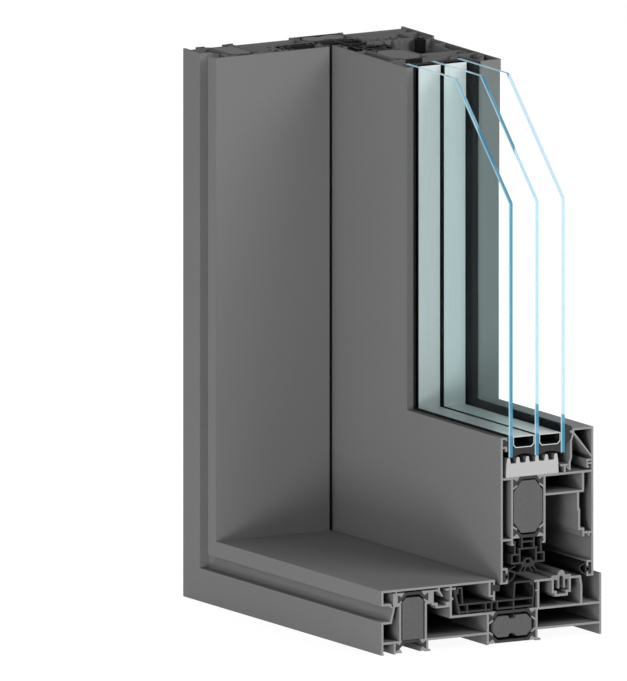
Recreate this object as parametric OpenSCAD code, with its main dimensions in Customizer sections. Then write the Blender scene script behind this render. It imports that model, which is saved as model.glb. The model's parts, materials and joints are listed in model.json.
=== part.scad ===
// Corner section of a thermally broken aluminium lift-and-slide door.
// A frame (sill and jamb) carries a sash (bottom rail and stile) with triple glazing.
// Every profile is one section, drawn as depth across and height up, that runs along the sill
// and again up the jamb. The two runs meet in a 45 degree mitre at the outer corner.

/* [Corner sample] */
// Length of the sill from the outer corner to the cut end
sill_length = 278; // [250:1:600]
// Height of the jamb from the floor to the cut end
jamb_height = 390; // [340:1:900]
// Corner cut off the glass at 45 degrees
glass_corner_cut = 77; // [20:1:95]

/* [Frame] */
// Depth of the frame from front face to rear face
frame_depth = 178; // [165:0.5:200]
// Height of the frame from the floor to the top of the track cover
frame_height = 46; // [45:0.25:50]
// Wall thickness of the aluminium profiles
wall = 1.6; // [1.4:0.1:1.7]
// Height of the underside web above the floor
foot_height = 7.6; // [6.8:0.1:8.4]
// Depth of the front shell
front_shell_depth = 16; // [15.5:0.1:18]
// Depth of the rear shell
rear_shell_depth = 53.2; // [52:0.1:56]
// Width of the front insulating bars
front_bar_width = 24.8; // [24:0.1:27]
// Width of the rear insulating bars
rear_bar_width = 37.8; // [36:0.1:38]
// Depth of the track floor below the top of the track cover
track_floor = 22.6; // [21.5:0.1:23.5]
// Height of the flashing groove's lower edge
groove_bottom = 23.6; // [20:0.1:25]
// Depth of the flashing groove at its lower edge
groove_depth = 7; // [5:0.1:7.5]

/* [Track cover] */
// Gap between the cover's rear edge and the sash's front face
cover_gap = 4.7; // [3.6:0.1:5.6]
// Height of the cover's front lip
cover_lip = 11; // [10.5:0.1:12]

/* [Rail] */
// Distance from the rail's centre line to the rear face
rail_setback = 32.4; // [31:0.1:33]
// Radius of the running head
rail_head_r = 2.7; // [2.2:0.1:3.2]
// Height of the running head above the frame's top wall
rail_rise = 5.1; // [4.5:0.1:5.5]

/* [Sash] */
// Depth of the sash from front face to rear face
sash_depth = 75; // [74.5:0.1:77]
// Distance from the sash's rear face to the frame's rear face
sash_setback = 6.4; // [5:0.1:6.4]
// How far the sash reaches below the top of the track cover
sash_dip = 3.8; // [3:0.1:4]
// Height of the sash's front face
sash_height = 104.2; // [100:0.1:120]
// Height of the open skirt below the insulating bars
skirt_height = 31.8; // [31:0.1:34]
// Depth of the glazing rebate
rebate_height = 28.8; // [28.4:0.1:29.6]
// Depth of the sash's front shell
sash_front_shell = 10; // [9.5:0.1:11]
// Width of the sash's insulating bars
sash_bar_width = 24.6; // [24:0.1:26]
// Height of the glazing bead above the sash's front face
bead_rise = 1.8; // [1:0.1:3]

/* [Glazing] */
// Thickness of one glass pane
pane = 3.3; // [3:0.1:3.7]
// Width of each gas cavity
cavity = 17.8; // [16.8:0.1:18]
// Depth of the glass behind the sash's front face
glass_setback = 6.4; // [6.2:0.1:6.8]
// Height of the glass edge above the glazing floor
glass_lift = 14.3; // [13.6:0.1:14.8]
// Depth of the edge seal below the spacer
seal_depth = 6.4; // [5.6:0.1:6.8]
// Height of the spacer bar
spacer_height = 8.2; // [6.5:0.1:9]
// Length of the glazing block
block_length = 100; // [50:1:120]

/* [Hidden] */
$fn = 48;

// Finishes
coating = "#747474";
polyamide = "#3a3a3a";
foam = "#626262";
black_pvc = "#303030";
rubber = "#262626";
glass_tint = "#a9dcec";
spacer_metal = "#d9dcdc";
block_plastic = "#bebebe";
rail_metal = "#9a9a9a";

// Play between pieces that are clipped, crimped or laid together
play = 0.1;
// Gap between the sash and the seal that it runs past
running_gap = 0.3;

// Crimped groove that grips an insulating bar
groove_half = 3.1;
jaw_bite = 1.9;
jaw_tip = 3.3;
jaw_reach = 5.4;
jaw_plate = 1.2;
jaw_finger = 1.5;
jaw_root = 0.6;
// Insulating bar
bar_web = 2;
bar_link = 7.2;
// Groove centre below the outside of its outer jaw
groove_drop = jaw_plate + groove_half;

// Depths of the frame's shells. The upper grooves lie 2.8 behind the walls, the lower ones 4.4
upper_recess = 2.8;
lower_recess = 4.4;
front_wall = front_shell_depth - wall;
upper_front_floor = front_shell_depth - upper_recess;
upper_middle_floor = upper_front_floor + front_bar_width;
lower_front_floor = front_shell_depth - lower_recess;
lower_middle_floor = lower_front_floor + front_bar_width;
middle_front = upper_middle_floor - upper_recess;
rear_front = frame_depth - rear_shell_depth;
middle_rear = rear_front - rear_bar_width;

// Heights of the frame's shells
nub = 1.2;
shell_top = frame_height - wall - nub;
upper_groove_z = shell_top - groove_drop;
lower_front_groove_z = foot_height + wall - groove_drop;
track_z = frame_height - track_floor;
track_groove_z = track_z - groove_drop;
foot_groove_z = 0.7 + groove_drop;
shelf_top = upper_groove_z - groove_half - 0.5;
cover_foot = frame_height - 14.7;

// Depths of the track: tee wall at its front, box of the rail at its rear
tee_wall = middle_front + 20.2;
tee_head = 8;
tee_plate = 1.4;
rail_y = frame_depth - rail_setback;
box_front = rear_front + 1.4;
box_rear = rail_y + 15.8;
channel_half = 7.7;

// Heights and depths of the sash
sash_bottom = frame_height - sash_dip;
sash_top = sash_bottom + sash_height;
sash_rear = frame_depth - sash_setback;
sash_front = sash_rear - sash_depth;
cover_depth = sash_front - cover_gap;
glazing_floor = sash_top - rebate_height;
skirt_top = sash_bottom + skirt_height;
sash_front_floor = sash_front + sash_front_shell;
sash_rear_floor = sash_front_floor + sash_bar_width;
sash_upper_groove_z = glazing_floor - groove_drop;
sash_lower_groove_z = skirt_top + groove_drop;
foot_depth = 5.6;
foot_rise = 11.2;
foot_mouth = [3, 7.2];
lip = 1.4;
hook_z = skirt_top - 5;
hook_reach = 2.2;
bead_top = sash_top + bead_rise;
bead_seat = glazing_floor + 5.9;

// Adaptor under the sash's insulating bars
adaptor_y = (sash_front_floor + sash_rear_floor) / 2 - 0.3;
adaptor_half = 13.6;
adaptor_bottom = skirt_top - 18.4;
adaptor_wall = 1.2;
wiper_slot_half = 2.6;

// Glazing
glass_bottom = glazing_floor + glass_lift;
outer_pane_y = sash_front + glass_setback;
middle_pane_y = outer_pane_y + pane + cavity;
inner_pane_y = middle_pane_y + pane + cavity;
glass_rear = inner_pane_y + pane;
// Front of the glazing bead's leg, and of the tee that holds it
bead_leg = glass_rear + 4.2;
tee_front = glass_rear - 0.7;
spacer_bottom = glass_bottom + seal_depth;
butyl = 0.3;
spacer_wall = 0.6;
spacer_chamfer = 2.2;

// Outline through points of a local frame at a place, flipped across or up where flip is -1.
// The points are put in turning order, so that a flipped outline joins its neighbours
module outline(points, at = [0, 0], flip = [1, 1]) {
    placed_points = [for (p = points) at + [flip[0] * p[0], flip[1] * p[1]]];
    count = len(points);
    turns = [for (i = [0 : count - 1]) cross(placed_points[i], placed_points[(i + 1) % count])];
    ones = [for (t = turns) 1];
    polygon(turns * ones > 0 ? placed_points : [for (i = [count - 1 : -1 : 0]) placed_points[i]]);
}

// Rectangle between two depths and two heights
module block(d, z, at = [0, 0], flip = [1, 1]) {
    outline([[d[0], z[0]], [d[1], z[0]], [d[1], z[1]], [d[0], z[1]]], at, flip);
}

// Wall that stands on end, from its front face
module upright(front, z, t = wall, at = [0, 0], flip = [1, 1]) {
    block([front, front + t], z, at, flip);
}

// Wall that lies flat, from its lower face
module plate(d, bottom, t = wall, at = [0, 0], flip = [1, 1]) {
    block(d, [bottom, bottom + t], at, flip);
}

// Wall that leans from one front point to another, measured level
module leaning(from, to, t = wall) {
    outline([from, to, to + [t, 0], from + [t, 0]]);
}

// Outer jaw of a crimped groove: a plate with a wedge on its inside
module jaw(at, flip) {
    outline([
        [-jaw_root, groove_half], [0, groove_half], [jaw_tip, groove_half - jaw_bite],
        [jaw_reach, groove_drop], [-jaw_root, groove_drop]
    ], at, flip);
}

// Inner jaw of a crimped groove: a finger that leans towards the bar
module finger(at, flip) {
    outline([
        [-jaw_root, -groove_half], [0, -groove_half], [jaw_tip, jaw_bite - groove_half],
        [jaw_tip, jaw_bite - groove_half - jaw_finger], [0, -groove_half - jaw_finger],
        [-jaw_root, -groove_half - jaw_finger]
    ], at, flip);
}

// Both jaws of a groove. mouth is the way it opens, out is the side of its outer jaw
module grip(floor_y, centre_z, mouth, out, wedges = false) {
    at = [floor_y, centre_z];
    jaw(at, [mouth, out]);
    if (wedges) jaw(at, [mouth, -out]);
    else finger(at, [mouth, out]);
}

// Insulating bar between two facing grooves, with its web flush with the outside of the jaws
module bar(floor_y, centre_z, width, out) {
    head = groove_half - play;
    neck = groove_half - jaw_bite - play;
    web = groove_drop;
    outline([
        [play, -head], [play, head], [jaw_tip, neck], [jaw_reach + play, web],
        [width - jaw_reach - play, web], [width - jaw_tip, neck], [width - play, head],
        [width - play, -head], [width - jaw_tip, -neck], [width - bar_link, web - bar_web],
        [bar_link, web - bar_web], [jaw_tip, -neck]
    ], [floor_y, centre_z], [1, out]);
}

// Rectangle with its corners cut off: lower and upper cut
module cut_block(d, z, low, high) {
    polygon([
        [d[0], z[0] + low], [d[0] + low, z[0]], [d[1] - low, z[0]], [d[1], z[0] + low],
        [d[1], z[1] - high], [d[1] - high, z[1]], [d[0] + high, z[1]], [d[0], z[1] - high]
    ]);
}

// Strip of constant thickness along a line of points
module strip(points, t, at = [0, 0], flip = [1, 1]) {
    last = len(points) - 1;
    ways = [for (i = [0 : last]) points[min(i + 1, last)] - points[max(i - 1, 0)]];
    across = [for (w = ways) [-w[1], w[0]] * t / 2 / norm(w)];
    left = [for (i = [0 : last]) points[i] + across[i]];
    right = [for (i = [last : -1 : 0]) points[i] - across[i]];
    outline(concat(left, right), at, flip);
}

// Front shell of the frame, with the flashing groove above its front face
module front_shell_section() {
    shelf = shelf_top - wall;
    back = upper_front_floor - 3.6;
    // Front face and the lower chamber
    upright(0, [0, groove_bottom]);
    block([0, wall + 0.6], [0, 0.8]);
    plate([0, groove_depth + wall], groove_bottom - wall);
    plate([0, lower_front_floor], foot_height);
    upright(front_wall, [foot_height + wall / 2, shelf_top]);
    leaning([groove_depth - 0.4, groove_bottom - wall], [back + 0.2, shelf + wall / 2]);
    // Upper crimped groove
    plate([back, front_shell_depth], shelf);
    block([back, upper_front_floor], [shelf, shell_top]);
    grip(upper_front_floor, upper_groove_z, 1, 1);
    // Lower crimped groove on its foot
    upright(lower_front_floor - wall, [0, foot_height + wall]);
    grip(lower_front_floor, lower_front_groove_z, 1, 1, wedges = true);
}

// Middle shell of the frame: screw channel, front of the track and the large chamber
module middle_shell_section() {
    shelf = shelf_top - wall;
    block_rear = upper_middle_floor + 4.3;
    channel_floor = shelf - 3.8;
    step = 3.2;
    // Large chamber
    upright(middle_front, [foot_height + wall / 2, shelf_top]);
    plate([lower_middle_floor, middle_rear], foot_height);
    upright(middle_rear - wall, [0, track_z]);
    plate([tee_wall, middle_rear], track_z - wall);
    upright(tee_wall, [track_z - wall, shell_top]);
    // Screw channel above it
    plate([middle_front, block_rear], shelf);
    block([upper_middle_floor, block_rear], [shelf, shell_top]);
    plate([upper_middle_floor, block_rear + 3.4], shell_top - jaw_plate, jaw_plate);
    plate([block_rear - wall, block_rear + step], shelf - wall + play);
    upright(block_rear + step - wall, [channel_floor, shelf + play]);
    plate([block_rear + step - wall, tee_wall + wall], channel_floor, 1.4);
    block([tee_wall - step, tee_wall], [channel_floor, shelf]);
    // Head of the tee wall and the nub that the track insert snaps behind
    plate([tee_wall + wall / 2 - tee_head / 2, tee_wall + wall / 2 + tee_head / 2],
        shell_top - tee_plate, tee_plate);
    block([tee_wall + wall, tee_wall + wall + 1.2], [shelf + 1.2, shelf + 2.6]);
    // Crimped grooves and feet
    grip(upper_middle_floor, upper_groove_z, -1, 1);
    grip(lower_middle_floor, lower_front_groove_z, -1, 1, wedges = true);
    upright(lower_middle_floor, [0, foot_height + wall]);
    block([lower_middle_floor - 0.8, lower_middle_floor + 3.4], [0, 1]);
    grip(middle_rear, track_groove_z, 1, 1);
    grip(middle_rear, foot_groove_z, 1, -1);
}

// Rear shell of the frame: lower chamber, rail box with its undercut channel, rear upstand
module rear_shell_section() {
    inner_half = channel_half - wall;
    channel_bottom = shell_top - 11;
    slot_half = 3.7;
    slot_bottom = channel_bottom - 2.4;
    upstand = frame_height - 2.4;
    bend = shell_top - 7.2;
    // Lower chamber and rear upstand
    upright(rear_front, [0, track_z]);
    block([rear_front, rear_front + 4], [0, 1.2]);
    plate([rear_front, frame_depth], track_z - wall);
    plate([rear_front, frame_depth], foot_height);
    upright(frame_depth - wall, [0, upstand]);
    // Rail box
    upright(box_front, [track_z - wall, shell_top]);
    plate([box_front - 2.4, rail_y - inner_half], shell_top - wall);
    plate([rail_y + inner_half, box_rear], shell_top - wall);
    block([box_front - 1.4, box_front], [bend - 1, bend + 0.3]);
    leaning([box_rear - wall + 1.2, bend], [box_rear - wall, shell_top]);
    upright(box_rear - wall + 1.2, [track_z - wall, bend]);
    // Undercut channel that holds the rail
    at = [rail_y, 0];
    plate([-slot_half - wall, slot_half + wall], slot_bottom, wall, at);
    for (flip = [[-1, 1], [1, 1]]) {
        upright(inner_half, [channel_bottom, shell_top], wall, at, flip);
        plate([slot_half, channel_half], channel_bottom, wall, at, flip);
        upright(slot_half, [slot_bottom, channel_bottom + wall], wall, at, flip);
    }
    // Crimped grooves
    grip(rear_front, track_groove_z, -1, 1);
    grip(rear_front, foot_groove_z, -1, -1);
}

// Clip-on cover over the unused track, with a gasket groove along its rear edge
module track_cover_section() {
    lip_bottom = frame_height - cover_lip;
    lip_plate = 1.4;
    shelf = shelf_top - wall;
    front_block = upper_front_floor - 3.6;
    catch_y = upper_middle_floor + 7.9;
    rear_wall = cover_depth - lip;
    leg = rear_wall - 3.7;
    leg_bottom = cover_foot + 2.7;
    // Shelf and front lip
    plate([0, cover_depth], frame_height - wall);
    upright(0, [lip_bottom, frame_height]);
    plate([0, front_block - 1.8], lip_bottom, lip_plate);
    outline([
        [front_block - 2.8, lip_bottom + lip_plate], [front_block - 1.8, lip_bottom + lip_plate],
        [front_block - 1.1, shelf + 0.5], [front_block - 0.3, shelf + 0.2],
        [front_block - 0.3, shelf - 0.7], [front_block - 1.8, shelf - 0.3],
        [front_block - 2.8, lip_bottom]
    ]);
    // Nubs that rest on the shells below
    upright(upper_front_floor - 1.6, [shell_top + play, frame_height - wall / 2], 1);
    upright(tee_wall + 0.2, [shell_top + play, frame_height - wall / 2], 1.2);
    // Barbed leg that catches the edge of the screw channel
    outline([
        [catch_y, frame_height - wall / 2], [catch_y + 1.4, frame_height - wall / 2],
        [catch_y + 1.5, shell_top - 1], [catch_y + 4.1, shell_top - 5.2], [catch_y + 3.3, shell_top - 5.6],
        [catch_y + 0.4, shell_top - 2.3], [catch_y - 0.9, shell_top - 1.5], [catch_y, shell_top - 1.3 + play]
    ]);
    // Gasket groove
    upright(leg, [leg_bottom, frame_height - wall / 2]);
    plate([leg, cover_depth], leg_bottom, lip);
    upright(rear_wall, [cover_foot, leg_bottom + 4], lip);
    upright(rear_wall, [frame_height - 3.6, frame_height - wall / 2], lip);
}

// Gasket in the cover's rear edge, which the sash runs past
module cover_gasket_section() {
    rear_wall = cover_depth - lip;
    groove = [rear_wall - 3.7 + wall, rear_wall];
    mouth = [frame_height - 8, frame_height - 3.6];
    head = [groove[0] + play, groove[1] - play];
    seal_rear = sash_front - 0.6 - running_gap;
    block(head, [mouth[0] - 1.2, mouth[1] + 1.2]);
    block([head[0] + 0.4, cover_depth + 0.4], [mouth[0] + play, mouth[1] - play]);
    cut_block([cover_depth + play, seal_rear], [mouth[0] - 0.3, mouth[1]], 0.4, 0.4);
}

// Insulating bars of the frame
module front_bars_section() {
    bar(upper_front_floor, upper_groove_z, front_bar_width, 1);
    bar(lower_front_floor, lower_front_groove_z, front_bar_width, 1);
}

module rear_bars_section() {
    bar(middle_rear, track_groove_z, rear_bar_width, 1);
    bar(middle_rear, foot_groove_z, rear_bar_width, -1);
}

// Foam cores between the insulating bars
module front_core_section() {
    side = 1.2;
    d = [front_shell_depth + side, middle_front - side];
    z = [foot_height + wall + running_gap, upper_groove_z + 0.4];
    high = 3;
    outline([
        [d[0], z[0]], [d[1], z[0]], [d[1], z[1] - high],
        [d[1] - high, z[1]], [d[0] + high, z[1]], [d[0], z[1] - high]
    ]);
}

module rear_core_section() {
    side = 3.4;
    corner = 4;
    notch = 2.3;
    notch_half = 2.2;
    z = [foot_groove_z - 0.3, track_groove_z + 0.4];
    d = [middle_rear + side, rear_front - side];
    middle = (d[0] + d[1]) / 2;
    difference() {
        cut_block(d, z, corner, corner);
        for (end = z) translate([middle, end]) outline([
            [-notch_half - 1.3, 0], [-notch_half, notch], [notch_half, notch], [notch_half + 1.3, 0],
            [notch_half, -notch], [-notch_half, -notch]
        ]);
    }
}

// Hollow plastic insert that fills the floor of the track
module track_insert_section() {
    t = 1.2;
    floor_z = track_z + play;
    deck = cover_foot - play - t;
    low_deck = track_z + 1.2;
    front = tee_wall + wall + 1.4;
    front_top = front + 1.8;
    step_y = middle_rear + 19.4;
    rear = box_front - 4.6;
    spring = front + 2.4;
    spring_end = front + 5.6;
    bead_r = 1.7;
    last_foot = middle_rear - 3;
    split = [middle_rear + 1.8, middle_rear + 6.2];
    knee = shell_top - 7.5;
    // Spring leg with a bead that snaps under the tee wall's head
    outline([
        [front, shell_top - 1.8], [front + 1.6, shell_top - 1.8], [spring_end, floor_z + 2],
        [spring_end, floor_z], [spring_end - 1.6, floor_z]
    ]);
    translate([spring, shell_top - tee_plate - play - bead_r]) circle(r = bead_r);
    upright(spring + 0.4, [shell_top - tee_plate - 2 * bead_r, shell_top], t);
    plate([spring + 0.4, front_top + 5.4], shell_top - t, t);
    leaning([front_top + 4.9, deck], [front_top + 4.2, shell_top], t);
    // Deck and its feet
    plate([front + 3.6, rear + t], deck, t);
    plate([front + 4.6, split[0] + t], low_deck, t);
    plate([split[1], rear + t], low_deck, t);
    for (y = [spring_end + (last_foot - spring_end) / 4, last_foot, step_y])
        upright(y, [floor_z, deck + t], t);
    for (y = split) upright(y, [low_deck, deck + t], t);
    // Box under the sash's wiper, with a bead at its rear corner
    leaning([step_y, deck], [step_y + 1, shell_top], t);
    plate([step_y + 1, rear + 0.3], shell_top - t, t);
    leaning([rear, floor_z], [rear + 1.2, knee], t);
    leaning([rear + 1.2, knee], [rear + 0.3, shell_top - bead_r], t);
    translate([rear + 0.3, shell_top - bead_r]) circle(r = bead_r);
}

// Running rail, pressed into the channel of the rear shell
module rail_section() {
    inner_half = channel_half - wall;
    leg = 1.4;
    slot_half = rail_head_r - 1.1;
    leg_bottom = shell_top - 7.8;
    cap_bottom = shell_top + play;
    cap_top = cap_bottom + 1.6;
    cap_half = channel_half + 0.3;
    head_z = shell_top + rail_rise - rail_head_r;
    crown = head_z - 1.2;
    difference() {
        translate([rail_y, 0]) {
            cut_block([-cap_half, cap_half], [cap_bottom, cap_top], 0, 0.6);
            block([-inner_half + play, inner_half - play], [shell_top - wall, cap_top - 0.6]);
            block([-slot_half - leg, slot_half + leg], [leg_bottom, head_z]);
            translate([0, head_z]) circle(r = rail_head_r);
        }
        translate([rail_y, 0]) {
            block([-slot_half, slot_half], [leg_bottom - 1, crown - slot_half]);
            translate([0, crown - slot_half]) circle(r = slot_half);
        }
    }
}

// Foot of a sash shell: a groove that faces inwards, from the shell's outer face
module sash_foot(face, inwards) {
    at = [face, sash_bottom];
    flip = [inwards, 1];
    plate([0, foot_depth], 0, lip, at, flip);
    plate([0, foot_depth], foot_rise - lip, lip, at, flip);
    upright(foot_depth - lip, [0, foot_mouth[0]], lip, at, flip);
    upright(foot_depth - lip, [foot_mouth[1], foot_rise], lip, at, flip);
}

// Front shell of the sash, with the glazing lip at its top
module sash_front_section() {
    groove_z = sash_top - 7.8;
    upright(sash_front, [sash_bottom, sash_top]);
    plate([sash_front - 0.6, sash_front + wall], sash_bottom, lip);
    sash_foot(sash_front, 1);
    plate([sash_front, sash_front_floor], skirt_top - 1.4, lip);
    plate([sash_front, sash_front_floor], glazing_floor - wall);
    upright(sash_front_floor - wall, [hook_z, glazing_floor]);
    plate([sash_front_floor - wall, sash_front_floor - wall + hook_reach], hook_z, 1.3);
    grip(sash_front_floor, sash_upper_groove_z, 1, 1);
    grip(sash_front_floor, sash_lower_groove_z, 1, -1);
    // Groove for the outer glazing gasket
    plate([sash_front, sash_front + 5.2], sash_top - lip, lip);
    upright(sash_front + 4, [sash_top - 2.4, sash_top], 1.2);
    plate([sash_front, sash_front + 5.2], groove_z, 1.3);
    upright(sash_front + 4, [groove_z - 2.4, groove_z + 1.3], 1.2);
}

// Rear shell of the sash: carriage channel, cleat chamber, locking wall and bead seat
module sash_rear_section() {
    cleat_floor = glazing_floor - 15.2;
    cleat_rear = sash_rear - 9.2;
    lock_step = glazing_floor - 27.4;
    lock_bottom = glazing_floor - 42.2;
    lock_y = sash_rear - 13.2;
    ledge = skirt_top - 1.4;
    // Rear face and foot
    upright(sash_rear - wall, [sash_bottom, bead_seat]);
    sash_foot(sash_rear, -1);
    // Front wall with its hook, and the crimped grooves
    upright(sash_rear_floor, [hook_z, glazing_floor]);
    plate([sash_rear_floor + wall - hook_reach - 0.6, sash_rear_floor + wall], hook_z, 1.3);
    grip(sash_rear_floor, sash_upper_groove_z, -1, 1);
    grip(sash_rear_floor, sash_lower_groove_z, -1, -1);
    // Glazing floor and cleat chamber
    plate([sash_rear_floor, sash_rear], glazing_floor - wall);
    plate([sash_rear_floor, cleat_rear + wall], cleat_floor, 1.5);
    upright(cleat_rear, [cleat_floor, glazing_floor]);
    // Locking wall behind the carriage channel
    upright(lock_y, [lock_step - 0.6, cleat_floor + 1.5]);
    upright(lock_y + 0.9, [lock_bottom, lock_step + 0.6], 1.5);
    plate([lock_y + 0.9, sash_rear - 7.4], lock_bottom, 1.5);
    upright(sash_rear - 8.8, [ledge - 2, lock_bottom + 1.5], lip);
    plate([sash_rear - 8.8, sash_rear], ledge, lip);
    upright(sash_rear - 4.2, [ledge - 2, ledge + lip / 2], 1.2);
    // Tee and hook that the glazing bead snaps onto
    upright(tee_front, [glazing_floor - wall / 2, bead_seat], lip);
    plate([tee_front - 2.8, tee_front + 3.2], bead_seat - lip, lip);
    plate([sash_rear - 4.2, sash_rear], bead_seat - 1.8, lip);
}

// Insulating bars and foam core of the sash
module sash_bars_section() {
    bar(sash_front_floor, sash_upper_groove_z, sash_bar_width, 1);
    bar(sash_front_floor, sash_lower_groove_z, sash_bar_width, -1);
}

module sash_core_section() {
    side = 0.8;
    corner = [6, 7.8];
    d = [sash_front_floor + side, sash_rear_floor - side];
    z = [sash_lower_groove_z - 0.8, sash_upper_groove_z + 1.2];
    outline([
        [d[0], z[0] + corner[1]], [d[0] + corner[0], z[0]], [d[1] - corner[0], z[0]],
        [d[1], z[0] + corner[1]], [d[1], z[1] - corner[1]], [d[1] - corner[0], z[1]],
        [d[0] + corner[0], z[1]], [d[0], z[1] - corner[1]]
    ]);
}

// Hollow plastic adaptor clipped between the hooks of the sash's two shells
module adaptor_section() {
    t = adaptor_wall;
    box_top = adaptor_bottom + 6.2;
    crown = adaptor_bottom + 10;
    bridge = crown + 4.8;
    inner = adaptor_half - 7.6;
    leg = adaptor_half - 3.6;
    at = [adaptor_y, 0];
    for (flip = [[-1, 1], [1, 1]]) {
        // Side box with the clip leg that catches the shell's hook
        plate([wiper_slot_half, adaptor_half], adaptor_bottom, t, at, flip);
        upright(adaptor_half - t, [adaptor_bottom, box_top + t], t, at, flip);
        upright(inner, [adaptor_bottom, crown + t], t, at, flip);
        plate([inner, adaptor_half], box_top, t, at, flip);
        upright(leg, [box_top, hook_z + 3], t, at, flip);
        outline([
            [leg, hook_z + 1.4], [leg + t + 0.6, hook_z + 1.4], [leg + t, hook_z + 3], [leg, hook_z + 3]
        ], at, flip);
        upright(inner - 1.8, [crown, skirt_top - running_gap], t, at, flip);
    }
    // Middle chambers
    plate([-inner - t - 0.6, inner + t + 0.6], crown, t, at);
    plate([-inner + 1.2, inner - 1.2], bridge, t, at);
}

// Wiper with a hollow head in the adaptor's slot and four trailing fins
module wiper_section() {
    top = adaptor_bottom + adaptor_wall + play;
    head_top = top + 2.5;
    body = [adaptor_bottom - 2.6, adaptor_bottom - play];
    fin = 0.9;
    drop = 3.4;
    neck = wiper_slot_half - play - 0.1;
    translate([adaptor_y, 0]) {
        difference() {
            union() {
                cut_block([-4, 4], [top, head_top], 0, 1.8);
                block([-neck, neck], [body[1] - 0.2, top + 0.2]);
            }
            block([-1.6, 1.6], [body[1] + 0.2, top + 1.3]);
        }
        cut_block([-5.2, 5.2], body, 0.8, 0);
        // Each fin leans outwards from its root to its tip
        for (side = [-1, 1], reach = [[1.1, 3.4], [4.3, 7.2]])
            strip([[reach[0], body[0] + 0.3], [reach[1], body[0] - drop]], fin, [0, 0], [side, 1]);
    }
}

// Gasket in a sash foot, from the shell's outer face. The front one has a fin above its fold
module foot_gasket(face, inwards, finned) {
    middle = (foot_mouth[0] + foot_mouth[1]) / 2;
    at = [face, sash_bottom + middle];
    flip = [inwards, 1];
    half = (foot_mouth[1] - foot_mouth[0]) / 2;
    groove = [wall, foot_depth - lip];
    root = foot_depth + play;
    skin = 0.9;
    hollow = 0.8;
    difference() {
        union() {
            block([groove[0] + play, groove[1] - play], [-half - 1.2, half + 1.2], at, flip);
            block([groove[0] + 1, root + skin], [play - half, half - play], at, flip);
            block([root, root + skin], [-4.9, 4.9], at, flip);
        }
        block([groove[1] - 0.5, foot_depth], [-hollow, hollow], at, flip);
    }
    // Hollow ear that folds against the track
    strip([
        [root + 0.4, -4.2], [root + 2.7, -2.8], [root + 4.5, -1.2], [root + 5.6, 0.6], [root + 5.6, 1.9],
        [root + 4.8, 2.8], [root + 3, 3.4], [root + 1.7, 3.9], [root + 0.4, 4.3]
    ], skin, at, flip);
    if (finned) outline([[root, 4.4], [root + 6.5, 6.6], [root + 6.3, 7.4], [root, 4.9]], at, flip);
}

// Glazing bead: hollow triangle that snaps onto the sash's rear shell
module bead_section() {
    t = 1.4;
    leg = bead_leg;
    heel = bead_seat - lip;
    nose = bead_top - 3;
    post_end = tee_front + 3.2;
    // Outer face and top
    upright(sash_rear - wall, [bead_seat + play, bead_top]);
    plate([leg + 2, sash_rear], bead_top - t, t);
    block([leg, leg + 3.4], [nose, bead_top - 1.2]);
    // Spring leg that hooks under the tee
    outline([
        [leg + 1.6, nose + 0.4], [leg + 3.2, nose + 0.4], [leg + 3.2, nose - 1.2], [leg + 1.5, nose - 5.4],
        [leg + 1.5, heel + 5.8], [leg + 0.4, heel + 1.6], [leg + 0.4, heel - 3.4], [leg - 0.4, heel - 3.4],
        [post_end - 1.4, heel - 0.8], [post_end - 1.1, heel - 0.2], [post_end + 0.4, heel - 1],
        [post_end + 0.4, heel + 1.6], [leg, heel + 5.8], [leg, nose - 5.4], [leg + 1.6, nose - 1.6]
    ]);
    // Brace and the hook at the outer face
    outline([
        [leg + 2.6, nose - 0.8], [leg + 3.4, nose + 0.2], [sash_rear - wall / 2, bead_seat + 3.8],
        [sash_rear - wall / 2, bead_seat + 2]
    ]);
    plate([sash_rear - 5.6, sash_rear - wall / 2], bead_seat + 0.6, t);
    upright(sash_rear - 5.6, [bead_seat - 4.2, bead_seat + 2], 1.2);
    plate([sash_rear - 5.6, sash_rear - 3.6], bead_seat - 4.2, 1.2);
}

// Gasket between the sash's front lip and the outer pane
module outer_gasket_section() {
    groove = [sash_top - 6.5, sash_top - lip];
    glass = outer_pane_y - play;
    anchor = sash_front + 3.9;
    lip_face = sash_front + 5.2 + play;
    block([sash_front + wall + play, anchor - play], [groove[0] + play, groove[1] - play]);
    block([anchor - play, lip_face], [groove[0] + play, sash_top - 2.4 - play]);
    outline([
        [lip_face, sash_top - 9], [glass, sash_top - 10.4], [glass, sash_top + 1.6],
        [glass - 0.5, sash_top + 1.8], [lip_face, sash_top + 0.4]
    ]);
}

// Wedge gasket between the inner pane and the glazing bead
module inner_gasket_section() {
    glass = glass_rear + play;
    leg = bead_leg - play;
    nose = bead_top - 3;
    outline([
        [glass, nose - 7.6], [glass + 1.6, nose - 6.6], [leg, nose - 4.6], [leg, nose - 3.2],
        [leg + 1, nose - 1.4], [leg + 1, nose - play], [leg, nose - play], [leg, bead_top - 1],
        [leg + 1.8, bead_top + play], [leg + 1.2, bead_top + 1.8], [leg - 1.4, bead_top + 2.8],
        [glass, bead_top + 3]
    ]);
}

// Hollow spacer bar between two panes, from the front pane's rear face
module spacer_section(front) {
    d = [front + butyl, front + cavity - butyl];
    z = [spacer_bottom, spacer_bottom + spacer_height];
    t = spacer_wall;
    difference() {
        cut_block(d, z, spacer_chamfer, 0);
        cut_block([d[0] + t, d[1] - t], [z[0] + t, z[1] - t], spacer_chamfer - t / 2, 0);
    }
}

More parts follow.
